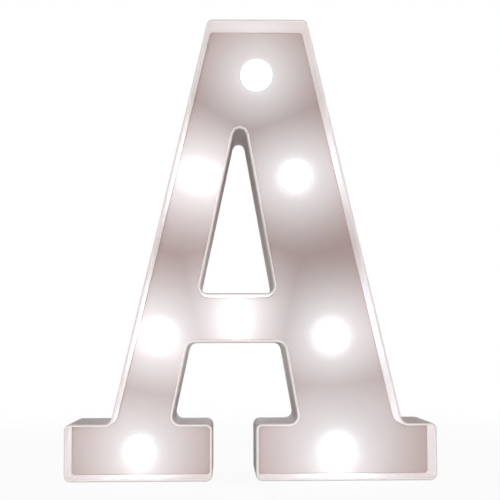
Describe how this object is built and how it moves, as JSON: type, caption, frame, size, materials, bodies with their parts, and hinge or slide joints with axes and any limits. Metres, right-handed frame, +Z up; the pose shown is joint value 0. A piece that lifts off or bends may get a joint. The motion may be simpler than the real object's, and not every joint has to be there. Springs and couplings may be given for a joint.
{
  "type": "led letter light",
  "caption": "Battery letter light: a hollow capital A with slab feet, a sunk face inside a raised rim, round milky bulbs, and a flat back with battery door, slide switch and hanging keyhole.",
  "frame": {"origin": "under the middle of the letter's width and depth, at the level of the feet", "axes": "+Z up the letter, +X to the reader's right, +Y out of the back; the lit front faces -Y"},
  "size_m": [0.1746, 0.045, 0.22],
  "materials": {
    "shell": "satin warm white ABS",
    "back": "fine matt white ABS",
    "milky_cap": "milky, light-diffusing",
    "diode": "clear epoxy",
    "zinc": "bright zinc plate",
    "spring_steel": "nickel plate",
    "cell_sleeve": "printed sleeve over steel",
    "switch_shell": "tin plate",
    "knob": "black nylon",
    "wire_red": "vinyl insulation",
    "wire_black": "vinyl insulation"
  },
  "bodies": {
    "letter": {"back_cover": "back", "black_link_1": "wire_black", "black_link_2": "wire_black", "black_link_3": "wire_black", "black_link_4": "wire_black", "black_link_5": "wire_black", "black_link_6": "wire_black", "black_link_7": "wire_black", "bridge_plate": "zinc", "bridge_spring": "spring_steel", "bulb_cap_1": "milky_cap", "bulb_cap_2": "milky_cap", "bulb_cap_3": "milky_cap", "bulb_cap_4": "milky_cap", "bulb_cap_5": "milky_cap", "bulb_cap_6": "milky_cap", "bulb_cap_7": "milky_cap", "bulb_cap_8": "milky_cap", "cell_1": "cell_sleeve", "cell_2": "cell_sleeve", "cover_screw_1": "zinc", "cover_screw_2": "zinc", "cover_screw_3": "zinc", "cover_screw_4": "zinc", "cover_screw_5": "zinc", "cover_screw_6": "zinc", "cover_screw_7": "zinc", "cover_screw_8": "zinc", "led_1": "diode", "led_2": "diode", "led_3": "diode", "led_4": "diode", "led_5": "diode", "led_6": "diode", "led_7": "diode", "led_8": "diode", "letter_housing": "shell", "negative_lead": "wire_black", "negative_plate": "zinc", "negative_spring": "spring_steel", "positive_lead": "wire_red", "positive_plate": "zinc", "red_link_1": "wire_red", "red_link_2": "wire_red", "red_link_3": "wire_red", "red_link_4": "wire_red", "red_link_5": "wire_red", "red_link_6": "wire_red", "red_link_7": "wire_red", "switch_body": "switch_shell", "switch_screw_1": "zinc", "switch_screw_2": "zinc", "switched_lead": "wire_red"},
    "battery_door": {"battery_door": "back"},
    "switch_slider": {"switch_slider": "knob"}
  },
  "joints": [
    {"name": "battery_door_hinge", "type": "hinge", "parent": "letter", "child": "battery_door", "pos_m": [0.03639, 0.0225, 0.07818], "axis": [-0.9804, 0, -0.1973], "range_deg": [0, 100]},
    {"name": "switch_slide", "type": "slide", "parent": "letter", "child": "switch_slider", "axis": [1, 0, 0], "range_m": [0, 0.003]}
  ]
}
